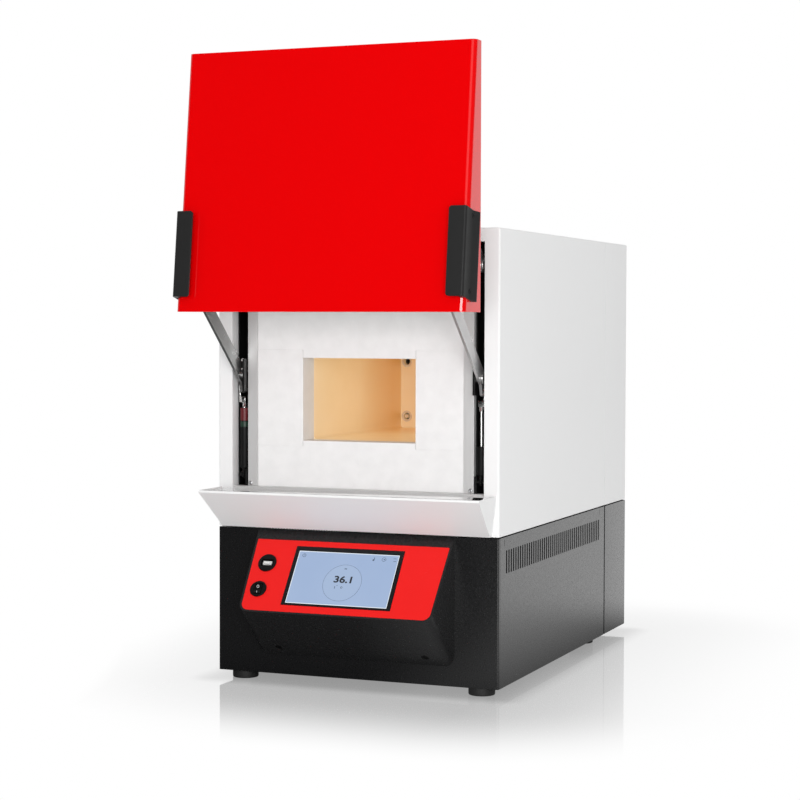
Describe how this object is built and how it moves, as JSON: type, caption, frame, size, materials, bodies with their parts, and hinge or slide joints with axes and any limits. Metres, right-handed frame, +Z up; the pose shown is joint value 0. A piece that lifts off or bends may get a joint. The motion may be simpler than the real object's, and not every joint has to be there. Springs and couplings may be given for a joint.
{
  "type": "ashing furnace",
  "caption": "Bench ashing furnace with a ceramic muffle, a parallel lift door on crank arms, a front shelf and a sloping control pod with a display.",
  "frame": {"origin": "centre of the footprint, from the front of the raised door's handles to the back of the cable gland, at the height of the bench under the feet", "axes": "+X to the viewer's right when facing the chamber, +Y from the front to the back, +Z up"},
  "size_m": [0.4456, 0.8196, 0.9015],
  "materials": {
    "casing_white": "satin",
    "base_black": "matte",
    "pod_black": "matte",
    "door_red": "gloss",
    "fascia_red": "satin",
    "handle_black": "satin",
    "stainless": "satin",
    "zinc": "satin",
    "arm_steel": "satin",
    "bright_steel": "polished",
    "slot_black": "matte",
    "strut_black": "gloss",
    "front_block_white": "matte",
    "fibre": "matte",
    "seal_fibre": "matte",
    "muffle_tan": "gloss",
    "element_wire": "matte",
    "probe_ceramic": "matte",
    "outlet_steel": "satin",
    "rubber": "matte",
    "display_black": "gloss",
    "display_glass": "gloss",
    "socket_black": "satin",
    "socket_metal": "satin",
    "gland_plastic": "satin",
    "board_green": "satin",
    "supply_metal": "satin",
    "relay_plastic": "satin"
  },
  "bodies": {
    "furnace": {"base_front_panel": "base_black", "base_pan": "base_black", "base_rear_cover": "base_black", "base_side_left": "base_black", "base_side_right": "base_black", "cable_gland": "gland_plastic", "casing_floor": "zinc", "casing_rear_cover": "casing_white", "casing_shell": "casing_white", "controller_board": "board_green", "data_socket": "socket_black", "data_socket_shell": "socket_metal", "display_bezel": "display_black", "display_glass": "display_glass", "display_module": "display_black", "door_switch": "socket_black", "fascia": "fascia_red", "feet": "rubber", "foot_screws": "bright_steel", "front_blocks_lower": "front_block_white", "front_blocks_side": "front_block_white", "front_blocks_upper": "front_block_white", "front_trims": "stainless", "fume_outlet": "outlet_steel", "heat_sink": "supply_metal", "heating_elements": "element_wire", "inner_case": "stainless", "insulation_floor": "fibre", "insulation_rear": "fibre", "insulation_roof": "fibre", "insulation_sides": "fibre", "muffle": "muffle_tan", "pivot_brackets": "slot_black", "pivot_pins": "bright_steel", "pod_housing": "pod_black", "pod_screws": "bright_steel", "power_supply": "supply_metal", "pull_strut_left": "strut_black", "pull_strut_right": "strut_black", "rear_screws": "bright_steel", "shelf": "casing_white", "sill_trim": "stainless", "slot_channel_left": "slot_black", "slot_channel_right": "slot_black", "solid_state_relay": "relay_plastic", "strut_anchors": "slot_black", "switch_body": "socket_black", "thermocouple": "probe_ceramic", "trim_screws": "bright_steel"},
    "lower_arms": {"lower_arms": "arm_steel"},
    "upper_arms": {"upper_arms": "arm_steel"},
    "door": {"door_skin": "door_red", "door_back_plate": "zinc", "door_insulation": "fibre", "door_seal": "seal_fibre", "handle_left": "handle_black", "handle_right": "handle_black", "door_brackets": "zinc", "door_pins": "bright_steel"},
    "rocker": {"switch_rocker": "socket_black"}
  },
  "joints": [
    {"name": "door_lift", "type": "hinge", "parent": "furnace", "child": "lower_arms", "pos_m": [0, -0.25071, 0.446], "axis": [1, 0, 0], "range_deg": [0, 114.4], "deforming": ["pull_strut_left", "pull_strut_right"]},
    {"name": "upper_arm_turn", "type": "hinge", "parent": "furnace", "child": "upper_arms", "pos_m": [0, -0.25071, 0.604], "axis": [1, 0, 0], "range_deg": [0, 114.4]},
    {"name": "door_level", "type": "hinge", "parent": "lower_arms", "child": "door", "pos_m": [0, -0.36684, 0.54946], "axis": [1, 0, 0], "range_deg": [-114.4, 0]},
    {"name": "power_rocker", "type": "hinge", "parent": "furnace", "child": "rocker", "pos_m": [-0.1245, -0.31976, 0.14062], "axis": [1, 0, 0], "range_deg": [-16, 0]}
  ],
  "couplings": [
    {"joint": "upper_arm_turn", "follows": "door_lift", "ratio": 1},
    {"joint": "door_level", "follows": "door_lift", "ratio": -1}
  ]
}
